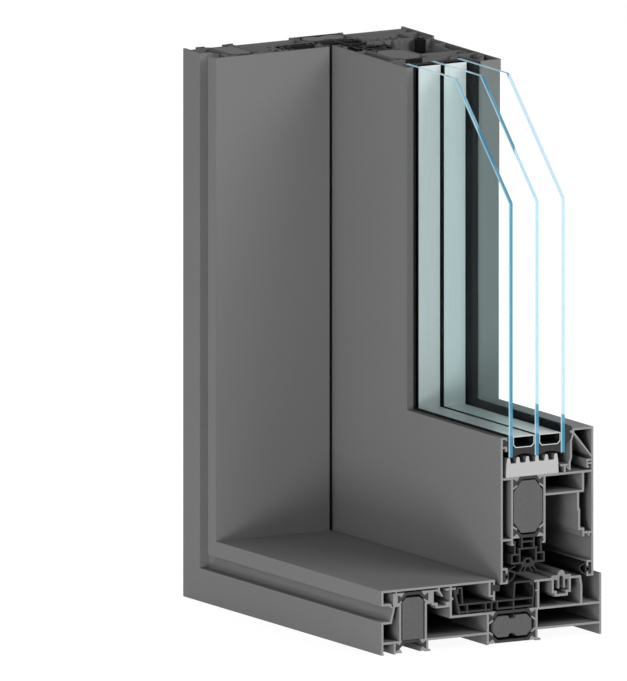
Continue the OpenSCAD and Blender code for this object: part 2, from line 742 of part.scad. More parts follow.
// Edge seal below a spacer bar, hollowed on its open side, with butyl up both sides of the bar
module edge_seal_section(front) {
    d = [front + play / 2, front + cavity - play / 2];
    hollow_r = cavity;
    dish = 1.4;
    middle = front + cavity / 2;
    difference() {
        block(d, [glass_bottom + 0.6, spacer_bottom + spacer_height - butyl]);
        cut_block([d[0] + butyl - play, d[1] - butyl + play],
            [spacer_bottom - play, spacer_bottom + spacer_height + play], spacer_chamfer, 0);
        translate([middle, glass_bottom + 0.6 + dish - hollow_r]) circle(r = hollow_r);
    }
}

// Ribbed block that the glass stands on
module glazing_block_section() {
    d = [sash_front + 4.2, glass_rear - 5.1];
    z = [glazing_floor + play, glass_bottom - 0.2];
    ribs = 6;
    rib = 2.2;
    rib_height = 4.2;
    body_top = z[1] - rib_height;
    pitch = (d[1] - d[0] - 2 * rib) / (ribs - 1);
    outline([
        d[0] * [1, 0] + z[0] * [0, 1], d[1] * [1, 0] + z[0] * [0, 1],
        [d[1] - 0.4, body_top], [d[0] + 0.4, body_top]
    ]);
    for (i = [0 : ribs - 1]) translate([d[0] + rib + i * pitch, body_top]) outline([
        [-rib * 0.8, -0.2], [rib * 0.8, -0.2], [rib * 0.5, rib_height - 0.5], [rib * 0.3, rib_height],
        [-rib * 0.3, rib_height], [-rib * 0.5, rib_height - 0.5]
    ]);
}

// Puts the middle of the part's floor at the origin
module placed() {
    translate([-sill_length / 2, -frame_depth / 2, 0]) children();
}

// A section run along X, cut at 45 degrees where X equals Z
module run(length) {
    reach = bead_top + 20;
    difference() {
        rotate([90, 0, 90]) linear_extrude(length) children();
        rotate([90, 0, 0]) translate([0, 0, -frame_depth - 10]) linear_extrude(frame_depth + 20)
            polygon([[-1, -1], [reach, reach], [-1, reach]]);
    }
}

module lying() {
    placed() run(sill_length) children();
}

module standing() {
    placed() mirror([1, 0, -1]) run(jamb_height) children();
}

// Frame
module sill_front_shell() { color(coating) lying() front_shell_section(); }
module jamb_front_shell() { color(coating) standing() front_shell_section(); }
module sill_middle_shell() { color(coating) lying() middle_shell_section(); }
module jamb_middle_shell() { color(coating) standing() middle_shell_section(); }
module sill_rear_shell() { color(coating) lying() rear_shell_section(); }
module jamb_rear_shell() { color(coating) standing() rear_shell_section(); }
module sill_track_cover() { color(coating) lying() track_cover_section(); }
module jamb_track_cover() { color(coating) standing() track_cover_section(); }
module sill_front_bars() { color(polyamide) lying() front_bars_section(); }
module jamb_front_bars() { color(polyamide) standing() front_bars_section(); }
module sill_rear_bars() { color(polyamide) lying() rear_bars_section(); }
module jamb_rear_bars() { color(polyamide) standing() rear_bars_section(); }
module sill_front_core() { color(foam) lying() front_core_section(); }
module jamb_front_core() { color(foam) standing() front_core_section(); }
module sill_rear_core() { color(foam) lying() rear_core_section(); }
module jamb_rear_core() { color(foam) standing() rear_core_section(); }
module sill_track_insert() { color(black_pvc) lying() track_insert_section(); }
module jamb_track_insert() { color(black_pvc) standing() track_insert_section(); }
module sill_rail() { color(rail_metal) lying() rail_section(); }
module jamb_rail() { color(rail_metal) standing() rail_section(); }
module sill_cover_gasket() { color(rubber) lying() cover_gasket_section(); }
module jamb_cover_gasket() { color(rubber) standing() cover_gasket_section(); }

// Sash
module front_foot_gasket() { foot_gasket(sash_front, 1, true); }
module rear_foot_gasket() { foot_gasket(sash_rear, -1, false); }
module bottom_rail_front_shell() { color(coating) lying() sash_front_section(); }
module stile_front_shell() { color(coating) standing() sash_front_section(); }
module bottom_rail_rear_shell() { color(coating) lying() sash_rear_section(); }
module stile_rear_shell() { color(coating) standing() sash_rear_section(); }
module bottom_rail_bars() { color(polyamide) lying() sash_bars_section(); }
module stile_bars() { color(polyamide) standing() sash_bars_section(); }
module bottom_rail_core() { color(foam) lying() sash_core_section(); }
module stile_core() { color(foam) standing() sash_core_section(); }
module bottom_rail_adaptor() { color(black_pvc) lying() adaptor_section(); }
module stile_adaptor() { color(black_pvc) standing() adaptor_section(); }
module bottom_rail_wiper() { color(rubber) lying() wiper_section(); }
module stile_wiper() { color(rubber) standing() wiper_section(); }
module bottom_rail_front_gasket() { color(rubber) lying() front_foot_gasket(); }
module stile_front_gasket() { color(rubber) standing() front_foot_gasket(); }
module bottom_rail_rear_gasket() { color(rubber) lying() rear_foot_gasket(); }
module stile_rear_gasket() { color(rubber) standing() rear_foot_gasket(); }
module bottom_glazing_bead() { color(coating) lying() bead_section(); }
module side_glazing_bead() { color(coating) standing() bead_section(); }
module bottom_outer_glazing_gasket() { color(rubber) lying() outer_gasket_section(); }
module side_outer_glazing_gasket() { color(rubber) standing() outer_gasket_section(); }
module bottom_inner_glazing_gasket() { color(rubber) lying() inner_gasket_section(); }
module side_inner_glazing_gasket() { color(rubber) standing() inner_gasket_section(); }

// Insulating glass unit
module glass_pane(front) {
    edge = glass_bottom;
    color(glass_tint) placed() translate([0, front + pane, 0]) rotate([90, 0, 0]) linear_extrude(pane)
        polygon([
            [edge, edge], [sill_length, edge], [sill_length, jamb_height - glass_corner_cut],
            [sill_length - glass_corner_cut, jamb_height], [edge, jamb_height]
        ]);
}

module outer_pane() { glass_pane(outer_pane_y); }
module middle_pane() { glass_pane(middle_pane_y); }
module inner_pane() { glass_pane(inner_pane_y); }

module outer_spacer() {
    color(spacer_metal) {
        lying() spacer_section(outer_pane_y + pane);
        standing() spacer_section(outer_pane_y + pane);
    }
}

module inner_spacer() {
    color(spacer_metal) {
        lying() spacer_section(middle_pane_y + pane);
        standing() spacer_section(middle_pane_y + pane);
    }
}

module outer_edge_seal() {
    color(rubber) {
        lying() edge_seal_section(outer_pane_y + pane);
        standing() edge_seal_section(outer_pane_y + pane);
    }
}

module inner_edge_seal() {
    color(rubber) {
        lying() edge_seal_section(middle_pane_y + pane);
        standing() edge_seal_section(middle_pane_y + pane);
    }
}

module glazing_block() {
    color(block_plastic) placed() translate([sill_length - block_length, 0, 0])
        rotate([90, 0, 90]) linear_extrude(block_length) glazing_block_section();
}

sill_front_shell();
jamb_front_shell();
sill_middle_shell();
jamb_middle_shell();
sill_rear_shell();
jamb_rear_shell();
sill_track_cover();
jamb_track_cover();
sill_front_bars();
jamb_front_bars();
sill_rear_bars();
jamb_rear_bars();
sill_front_core();
jamb_front_core();
sill_rear_core();
jamb_rear_core();
sill_track_insert();
jamb_track_insert();
sill_rail();
jamb_rail();
sill_cover_gasket();
jamb_cover_gasket();
bottom_rail_front_shell();
stile_front_shell();
bottom_rail_rear_shell();
stile_rear_shell();
bottom_rail_bars();
stile_bars();
bottom_rail_core();
stile_core();
bottom_rail_adaptor();
stile_adaptor();
bottom_rail_wiper();
stile_wiper();
bottom_rail_front_gasket();
stile_front_gasket();
bottom_rail_rear_gasket();
stile_rear_gasket();
bottom_glazing_bead();
side_glazing_bead();
bottom_outer_glazing_gasket();
side_outer_glazing_gasket();
bottom_inner_glazing_gasket();
side_inner_glazing_gasket();
outer_pane();
middle_pane();
inner_pane();
outer_spacer();
inner_spacer();
outer_edge_seal();
inner_edge_seal();
glazing_block();
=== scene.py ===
import json
import math

import bmesh
import bpy
from bpy.props import FloatProperty, FloatVectorProperty, PointerProperty
from bpy.types import NodeSocket, Operator, Panel, PropertyGroup
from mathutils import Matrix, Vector


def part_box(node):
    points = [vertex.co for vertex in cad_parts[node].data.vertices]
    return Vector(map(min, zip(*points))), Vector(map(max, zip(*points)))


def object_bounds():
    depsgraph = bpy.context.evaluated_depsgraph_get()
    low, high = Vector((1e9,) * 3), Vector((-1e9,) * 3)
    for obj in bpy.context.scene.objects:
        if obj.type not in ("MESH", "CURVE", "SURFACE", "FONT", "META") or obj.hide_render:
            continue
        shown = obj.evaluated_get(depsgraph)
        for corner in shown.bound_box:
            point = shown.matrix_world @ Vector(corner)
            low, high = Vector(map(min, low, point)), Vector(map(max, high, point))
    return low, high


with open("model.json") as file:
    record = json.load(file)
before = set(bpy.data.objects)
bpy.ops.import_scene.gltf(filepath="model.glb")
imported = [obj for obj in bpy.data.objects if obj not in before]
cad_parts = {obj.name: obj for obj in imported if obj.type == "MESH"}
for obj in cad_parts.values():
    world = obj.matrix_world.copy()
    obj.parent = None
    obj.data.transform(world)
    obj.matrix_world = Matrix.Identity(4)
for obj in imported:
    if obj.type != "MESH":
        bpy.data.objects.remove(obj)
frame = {"nodes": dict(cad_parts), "record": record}
CAD_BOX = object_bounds()

bl_info = {
    "name": "Sliding door corner sample",
    "version": (1, 0, 0),
    "blender": (4, 5, 0),
    "location": "View3D > Sidebar > Corner sample",
    "description": "Finishes the profiles, seals and glass of a sawn door corner, and lights it",
    "category": "Material",
}

# One millimetre in scene units
MM = 0.001
# Middle of the sample, which the lamps and the camera face
MIDDLE = (CAD_BOX[0] + CAD_BOX[1]) / 2
# The two planes where the saw cut the sample: the sill's end and the jamb's top
SILL_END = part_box("sill_front_shell")[1].x
JAMB_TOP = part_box("jamb_front_shell")[1].z
# How near to those planes a point counts as sawn
SAW_MARGIN = 0.05 * MM
# Middle of the saw's blade
BLADE_MIDDLE = (-0.3, 0.35, -0.3)
# Length after which a wave texture of scale 1 repeats
WAVE_LENGTH = math.tau / 20
# How fast the pattern of an extrusion changes along the sill, through the depth and up the jamb
DIE_STRETCH = (0.02, 1.0, 0.02)
# The two values between which most of a pattern lies
PATTERN_LOW, PATTERN_HIGH = 0.25, 0.75
# How much of a face's normal lies along an axis when the face counts as facing that way
FACING = 0.9
# The same for the edges of a pane, some of which slant
EDGE_FACING = 0.5
# How open a place in a chamber is, by ambient occlusion, where the painted shade is darkest and
# where it ends
CHAMBER_CLOSED, CHAMBER_OPEN = 0.02, 0.22
# Tone of the darkest painted shade in the chambers, as a share of the coat's own colour
CHAMBER_SHADE_TONE = 0.25
# Front face, thickness and spacing of the panes, through the depth of the sample
PANE_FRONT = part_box("outer_pane")[0].y
PANE_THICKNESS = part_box("outer_pane")[1].y - PANE_FRONT
PANE_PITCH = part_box("middle_pane")[0].y - PANE_FRONT
# Width and height of a spacer bar, and half the thickness of its wall
SPACER_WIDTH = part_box("outer_spacer")[1].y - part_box("outer_spacer")[0].y
SPACER_HEIGHT = 8.2 * MM
SPACER_SKIN = 0.3 * MM
# Where the painted highlight along a pane's arris begins to fade and where it ends, in thicknesses
ARRIS_FADE, ARRIS_END = 0.28, 0.36
# How much of the normal points up where an edge begins to count as facing up, and where it does
UPWARD_FROM, UPWARD_TO = 0.8, 0.9
# How much of the painted highlight an edge that faces up has all over
UPWARD_HIGHLIGHT = 0.5
# How much a ground edge and its painted highlight strip hide of what is behind them
EDGE_COVER, ARRIS_COVER = 0.58, 0.75
# Shine of matt polymers and of satin metal, where 0.5 is the usual one
MATT, SATIN = 0.03, 0.05
# The lamps, named as their levels in the settings: the way from the middle to each, its distance,
# and its width and height
LAMPS = {
    "key": ((1.8, 1.0, 1.4), 2.2, (1.0, 1.0)),
    "front": ((0.58, -0.81, 0.22), 2.4, (1.8, 1.2)),
    "rim": ((-1.0, 0.15, 0.75), 2.2, (1.0, 1.0)),
    "table": ((0.64, -0.7, -0.33), 2.0, (0.5, 0.5)),
}
# The lamps that shine through the floor and the panes
LAMPS_THROUGH = ("front", "table")
# Distance of the camera from the middle, and how far it sees
CAMERA_DISTANCE, CAMERA_REACH = 2.0, 20.0
# How far the floor lies under the feet, so that no face lies in another
FLOOR_DROP = 0.2 * MM
FLOOR_SIDES = 96
FLOOR_GRAIN = 40 * MM
FLOOR_PAINT = "#e6e6e6"
# Share of the backdrop's white in the look of the floor
FLOOR_WHITE = 0.86
# Strength of that white, a little more than 1 to make up for the darker share of paint
FLOOR_GLOW = 1.1
WHITE = "#ffffff"


def linear(hex_value):
    """An sRGB hex colour as linear red, green, blue and alpha."""
    shares = [int(hex_value[i:i + 2], 16) / 255 for i in (1, 3, 5)]
    return [s / 12.92 if s <= 0.04045 else ((s + 0.055) / 1.055) ** 2.4 for s in shares] + [1.0]


def colour(name, description, hex_value):
    """A colour that a user may change."""
    return FloatVectorProperty(name=name, description=description, subtype="COLOR", size=4,
                               min=0.0, max=1.0, default=linear(hex_value))


def length(name, description, millimetres):
    """A length that a user may change."""
    return FloatProperty(name=name, description=description, unit="LENGTH", precision=5,
                         min=0.0, default=millimetres * MM)


def level(name, description, value):
    """A light level, where 1 makes a white card that faces it white."""
    return FloatProperty(name=name, description=description, min=0.0, max=9.0, default=value)


class CornerColours(PropertyGroup):
    """The colours of the materials."""

    coat: colour("Coat", "Powder coat on the profiles", "#7f7f7f")
    sawn_metal: colour("Sawn metal", "Bare aluminium where the saw cut it", "#999999")
    # Painted shade: a darker copy of the bare metal for the jamb's sawn top, where less light falls
    shaded_top_metal: colour("Dull metal", "Bare aluminium on the jamb's top, gone grey", "#585858")
    rail: colour("Rail", "Anodised running rail", "#8e8e8e")
    polyamide: colour("Polyamide", "Insulating bars", "#2f2f2f")
    foam: colour("Foam", "Cores between the bars", "#696969")
    plastic: colour("Plastic", "Track inserts and adaptors", "#2c2c2c")
    # Only the sill's sawn end takes this; the jamb's sawn top keeps the dark skin as painted shade
    sawn_plastic: colour("Sawn plastic", "Bars, inserts and adaptors where sawn", "#484848")
    rubber: colour("Rubber", "Skin of the gaskets and wipers", "#222222")
    # Only the sill's sawn end takes this; the jamb's cut top keeps the dark skin as painted shade
    cut_rubber: colour("Cut rubber", "Gaskets and sealant where the saw cut them", "#404040")
    glass: colour("Glass", "What a pane lets through", "#f2fbfb")
    glass_edge: colour("Glass edge", "Ground edge of a pane", "#5fb6e0")
    # Painted highlight: a pale strip along the front of each pane's ground edge
    glass_arris_highlight: colour("Glass arris", "Light strip along the ground edge", "#c4eaf8")
    # Painted shade: the pane edges buried in the sash, which no light reaches, are painted near
    # black
    shaded_buried_edge: colour("Primed edge", "Edge of a pane in the sash, black with primer", "#0a0a0a")
    spacer: colour("Spacer", "Spacer bars between the panes", "#d9dddd")
    # Painted shade on the inner walls of the spacer bars, where little light gets in
    spacer_hollow_shade: colour("Spacer hollow", "Inner walls of the spacer bars", "#262626")
    sealant: colour("Sealant", "Edge seal behind the spacers", "#1a1a1a")
    butyl: colour("Butyl", "Sealing strip between the spacers' flanks and the panes", "#0a0a0a")
    # The block's own light grey, shown on the face that looks along the sill
    block: colour("Block", "Glazing block where the saw whitened it", "#c2c2c2")
    # Painted shade: a darker grey on all the block's other faces, such as the tops of its teeth
    block_shaded_skin: colour("Block skin", "Moulded skin of the glazing block", "#707070")


class CornerSizes(PropertyGroup):
    """The sizes of the patterns in the materials."""

    coat_grain: length("Coat grain", "Width of a grain of the coat", 1.1)
    # How far into a chamber the ambient occlusion looks for its painted shade
    chamber_shade_reach: length("Powder reach", "How far the powder coat gets into a chamber", 40)
    coat_cloud: length("Coat cloud", "Width of a slow change of tone in the coat", 70)
    saw_pitch: length("Saw pitch", "Distance between two marks of the saw", 1.4)
    die_line: length("Die line", "Distance between two lines that the die leaves", 1.2)
    fibre: length("Fibre", "Width of a speck of glass fibre", 0.9)
    foam_cell: length("Foam cell", "Width of a cell of the foam", 1.3)
    rubber_bloom: length("Rubber bloom", "Width of a dull patch on the rubber", 6)
    sealant_lump: length("Sealant lump", "Width of a lump in the sealant", 3)
    block_grain: length("Block grain", "Width of a grain of the moulded block", 1.0)


class CornerStage(PropertyGroup):
    """The floor, the light and the view."""

    floor_radius: length("Floor radius", "Radius of the floor", 4000)
    sky: level("Sky", "Even light from all round", 0.22)
    key: level("Key", "Soft lamp behind the cut end, high on the right", 0.38)
    front: level("Front", "Broad lamp beside the view, hardly above it", 0.29)
    rim: level("Rim", "Soft lamp beside the jamb, high on the left", 0.6)
    table: level("Table", "Soft lamp before the sample, that shines up through the floor", 0.3)
    through_glass: level("Through glass", "Backdrop as seen through the tinted panes", 1.4)
    azimuth: FloatProperty(name="Azimuth", description="Turn of the view about the upright",
                           subtype="ANGLE", default=math.radians(60))
    elevation: FloatProperty(name="Elevation", description="Height of the view above the horizon",
                             subtype="ANGLE", default=math.radians(10))
    view_height: length("View height", "Height that the picture covers", 477.4)
    view_right: FloatProperty(name="View right", unit="LENGTH", default=-55.2 * MM,
                              description="Shift of the picture to the right of the sample")
    view_up: length("View up", "Rise of the picture's middle above the sample's", 0.4)


def fill(tree, node, inputs):
    """Links each input to the given socket, or sets it to the given value."""
    for key, value in inputs.items():
        if isinstance(value, NodeSocket):
            tree.links.new(value, node.inputs[key])
        else:
            node.inputs[key].default_value = value


def add(tree, kind, inputs, **settings):
    """Adds a node with its settings and links, and returns its outputs."""
    node = tree.nodes.new(kind)
    for name, value in settings.items():
        setattr(node, name, value)
    fill(tree, node, inputs)
    return node.outputs


def begin(name):
    """A new material, with its node tree and its shader."""
    finish = bpy.data.materials.new(name)
    finish.use_nodes = True
    tree = finish.node_tree
    return finish, tree, tree.nodes["Principled BSDF"]


def dress(slot, finish):
    """Gives the finish to every piece that the record puts in this material slot."""
    names = [part["node"] for part in frame["record"]["subparts"] if part["material_slot"] == slot]
    if not names:
        raise RuntimeError("No piece takes the finish of " + slot)
    for name in names:
        for place in frame["nodes"][name].material_slots:
            place.material = finish


def sawn_faces(tree, place):
    """Two sockets: 1 on the sill's sawn end and 1 on the jamb's sawn top, and else 0."""
    axis = add(tree, "ShaderNodeSeparateXYZ", {0: place})
    end = add(tree, "ShaderNodeMath", {0: axis["X"], 1: SILL_END - SAW_MARGIN},
              operation="GREATER_THAN")[0]
    top = add(tree, "ShaderNodeMath", {0: axis["Z"], 1: JAMB_TOP - SAW_MARGIN},
              operation="GREATER_THAN")[0]
    return end, top


def saw_marks(tree, place, pitch):
    """Shallow arcs of a large blade, whose middle lies far below the sample."""
    blade = add(tree, "ShaderNodeVectorMath", {0: place, 1: BLADE_MIDDLE}, operation="SUBTRACT")[0]
    return add(tree, "ShaderNodeTexWave",
               {"Vector": blade, "Scale": WAVE_LENGTH / pitch, "Distortion": 1.5, "Detail": 2.0},
               wave_type="RINGS", rings_direction="SPHERICAL")["Fac"]


def die_lines(tree, place, pitch):
    """Faint lines along an extrusion: a pattern that hardly changes along the run."""
    drawn = add(tree, "ShaderNodeVectorMath", {0: place, 1: DIE_STRETCH}, operation="MULTIPLY")[0]
    return add(tree, "ShaderNodeTexNoise",
               {"Vector": drawn, "Scale": 1 / pitch, "Detail": 2.0})["Fac"]


def toned(tree, base, pattern, spread):
    """The base colour, lighter and darker by the spread as the pattern goes."""
    tone = add(tree, "ShaderNodeMapRange",
               {"Value": pattern, "From Min": PATTERN_LOW, "From Max": PATTERN_HIGH,
                "To Min": 1 - spread, "To Max": 1 + spread})[0]
    return add(tree, "ShaderNodeVectorMath", {0: base[:3], "Scale": tone}, operation="SCALE")[0]


def powder_coated_aluminium(colours, sizes):
    """Polyester powder, sprayed and baked on extruded aluminium: an even satin grey with a little
    orange-peel grain in the gloss, painted shade deep in the chambers, and bare metal with saw
    marks where it is sawn, bright at the sill's end and painted darker as shade on the jamb's top."""
    finish, tree, shader = begin("powder_coated_aluminium")
    place = add(tree, "ShaderNodeTexCoord", {})["Object"]
    end, top = sawn_faces(tree, place)
    cut = add(tree, "ShaderNodeMath", {0: end, 1: top}, operation="MAXIMUM")[0]
    # The grain is about 0.3 mm in life, and is drawn coarser so that it shows
    grain = add(tree, "ShaderNodeTexNoise",
                {"Vector": place, "Scale": 1 / sizes.coat_grain, "Detail": 3.0})["Fac"]
    cloud = add(tree, "ShaderNodeTexNoise",
                {"Vector": place, "Scale": 1 / sizes.coat_cloud, "Detail": 1.0})["Fac"]
    marks = saw_marks(tree, place, sizes.saw_pitch)
    mottle = add(tree, "ShaderNodeMix", {0: 0.5, 2: grain, 3: cloud}, data_type="FLOAT")[0]
    # Painted shade: ambient occlusion darkens the coat's colour deep in the chambers, away from
    # their open ends
    reach = add(tree, "ShaderNodeAmbientOcclusion", {"Distance": sizes.chamber_shade_reach}, samples=8,
                only_local=True)["AO"]
    edge_cover_and_chamber_shade = add(tree, "ShaderNodeMapRange",
                {"Value": reach, "From Min": CHAMBER_CLOSED, "From Max": CHAMBER_OPEN,
                 "To Min": CHAMBER_SHADE_TONE, "To Max": 1.0})[0]
    coat = toned(tree, colours.coat, mottle, 0.03)
    coat = add(tree, "ShaderNodeVectorMath", {0: coat, "Scale": edge_cover_and_chamber_shade}, operation="SCALE")[0]
    metal = toned(tree, colours.sawn_metal, marks, 0.07)
    # Painted shade: the jamb's sawn top takes the darker copy of the bare metal
    dull = toned(tree, colours.shaded_top_metal, marks, 0.07)
    bare = add(tree, "ShaderNodeMix", {0: top, 6: metal, 7: dull}, data_type="RGBA")[2]
    height = add(tree, "ShaderNodeMix", {0: cut, 2: grain, 3: marks}, data_type="FLOAT")[0]
    gloss = add(tree, "ShaderNodeMapRange", {"Value": grain, "To Min": 0.62, "To Max": 0.76})[0]
    sheen = add(tree, "ShaderNodeMapRange", {"Value": top, "To Min": 0.5, "To Max": 0.9})[0]
    fill(tree, shader, {
        "Base Color": add(tree, "ShaderNodeMix", {0: cut, 6: coat, 7: bare}, data_type="RGBA")[2],
        "Metallic": add(tree, "ShaderNodeMath", {0: end, 1: 0.35}, operation="MULTIPLY")[0],
        "Roughness": add(tree, "ShaderNodeMix", {0: cut, 2: gloss, 3: sheen}, data_type="FLOAT")[0],
        "Specular IOR Level": SATIN,
        "Normal": add(tree, "ShaderNodeBump",
                      {"Strength": 0.12, "Distance": 0.1 * MM, "Height": height})[0],
    })
    return finish


def anodised_aluminium(colours, sizes):
    """Extruded aluminium, anodised in its natural colour: a soft silver with fine lines along the
    run, and a dull grey of painted shade where the jamb's top is sawn."""
    finish, tree, shader = begin("anodised_aluminium")
    place = add(tree, "ShaderNodeTexCoord", {})["Object"]
    lines = die_lines(tree, place, sizes.die_line)
    _, top = sawn_faces(tree, place)
    skin = toned(tree, colours.rail, lines, 0.08)
    gloss = add(tree, "ShaderNodeMapRange", {"Value": lines, "To Min": 0.34, "To Max": 0.5})[0]
    fill(tree, shader, {
        # The jamb's sawn top takes the grey of painted shade
        "Base Color": add(tree, "ShaderNodeMix", {0: top, 6: skin, 7: colours.shaded_top_metal},
                          data_type="RGBA")[2],
        "Metallic": add(tree, "ShaderNodeMapRange",
                        {"Value": top, "To Min": 0.6, "To Max": 0.0})[0],
        "Roughness": add(tree, "ShaderNodeMix", {0: top, 2: gloss, 3: 0.9}, data_type="FLOAT")[0],
        "Specular IOR Level": SATIN,
        "Normal": add(tree, "ShaderNodeBump",
                      {"Strength": 0.15, "Distance": 0.1 * MM, "Height": lines})[0],
    })
    return finish


def glass_fibre_polyamide(colours, sizes):
    """Polyamide with a quarter of short glass fibre, extruded: near black and dull, with die lines
    along the run and pale fibre specks on the sill's sawn end; the jamb's sawn top keeps the dark
    skin as painted shade."""
    finish, tree, shader = begin("glass_fibre_polyamide")
    place = add(tree, "ShaderNodeTexCoord", {})["Object"]
    # Only the sill's sawn end is paler; the jamb's sawn top keeps the skin colour as painted shade
    end, _ = sawn_faces(tree, place)
    lines = die_lines(tree, place, sizes.die_line)
    # A fibre is 0.01 mm across, so clusters of them are drawn instead
    specks = add(tree, "ShaderNodeTexNoise", {"Vector": place, "Scale": 1 / sizes.fibre,
                                              "Detail": 4.0, "Roughness": 0.7})["Fac"]
    pattern = add(tree, "ShaderNodeMix", {0: end, 2: lines, 3: specks}, data_type="FLOAT")[0]
    skin = toned(tree, colours.polyamide, lines, 0.2)
    sawn = toned(tree, colours.sawn_plastic, specks, 0.15)
    fill(tree, shader, {
        "Base Color": add(tree, "ShaderNodeMix", {0: end, 6: skin, 7: sawn}, data_type="RGBA")[2],
        "Roughness": 0.85,
        "IOR": 1.53,
        "Specular IOR Level": MATT,
        "Normal": add(tree, "ShaderNodeBump",
                      {"Strength": 0.2, "Distance": 0.1 * MM, "Height": pattern})[0],
    })
    return finish


def closed_cell_foam(colours, sizes):
    """Polyethylene foam, blown and slit: a matt mid grey, pitted where the cells are cut open."""
    finish, tree, shader = begin("closed_cell_foam")
    place = add(tree, "ShaderNodeTexCoord", {})["Object"]
    # The cells are about 0.4 mm in life, and are drawn coarser so that they show
    cells = add(tree, "ShaderNodeTexVoronoi", {"Vector": place, "Scale": 1 / sizes.foam_cell},
                feature="SMOOTH_F1")["Distance"]
    fill(tree, shader, {
        "Base Color": toned(tree, colours.foam, cells, 0.05),
        "Roughness": 0.9,
        "IOR": 1.5,
        "Specular IOR Level": MATT,
        "Normal": add(tree, "ShaderNodeBump",
                      {"Strength": 0.25, "Distance": 0.2 * MM, "Height": cells})[0],
    })
    return finish


def rigid_pvc(colours, sizes):
    """Rigid PVC, extruded: dark and hardly shiny, with faint die lines along the run, and greyer
    with saw marks on the sill's sawn end; the jamb's sawn top keeps the dark skin as painted shade."""
    finish, tree, shader = begin("rigid_pvc")
    place = add(tree, "ShaderNodeTexCoord", {})["Object"]
    lines = die_lines(tree, place, sizes.die_line)
    # Only the sill's sawn end is greyer; the jamb's sawn top keeps the skin colour as painted shade
    end, _ = sawn_faces(tree, place)
    skin = toned(tree, colours.plastic, lines, 0.12)
    sawn = toned(tree, colours.sawn_plastic, saw_marks(tree, place, sizes.saw_pitch), 0.06)
    fill(tree, shader, {
        "Base Color": add(tree, "ShaderNodeMix", {0: end, 6: skin, 7: sawn}, data_type="RGBA")[2],
        "Roughness": add(tree, "ShaderNodeMapRange",
                         {"Value": lines, "To Min": 0.7, "To Max": 0.85})[0],
        "IOR": 1.53,
        "Specular IOR Level": MATT,
        "Normal": add(tree, "ShaderNodeBump",
                      {"Strength": 0.1, "Distance": 0.1 * MM, "Height": lines})[0],
    })
    return finish


def epdm_rubber(colours, sizes):
    """EPDM rubber, extruded and cured in hot air: soft black with dull patches of bloom, and greyer
    where the sill's end is cut, while the jamb's cut top keeps the black skin as painted shade."""
    finish, tree, shader = begin("epdm_rubber")
    place = add(tree, "ShaderNodeTexCoord", {})["Object"]
    bloom = add(tree, "ShaderNodeTexNoise",
                {"Vector": place, "Scale": 1 / sizes.rubber_bloom, "Detail": 5.0})["Fac"]
    # Only the sill's cut end is greyer; the jamb's cut top keeps the skin colour as painted shade
    end, _ = sawn_faces(tree, place)
    skin = toned(tree, colours.rubber, bloom, 0.2)
    core = toned(tree, colours.cut_rubber, bloom, 0.1)
    fill(tree, shader, {
        "Base Color": add(tree, "ShaderNodeMix", {0: end, 6: skin, 7: core}, data_type="RGBA")[2],
        "Roughness": add(tree, "ShaderNodeMapRange",
                         {"Value": bloom, "To Min": 0.7, "To Max": 0.9})[0],
        "IOR": 1.5,
        "Specular IOR Level": MATT,
        "Normal": add(tree, "ShaderNodeBump",
                      {"Strength": 0.1, "Distance": 0.1 * MM, "Height": bloom})[0],
    })
    return finish


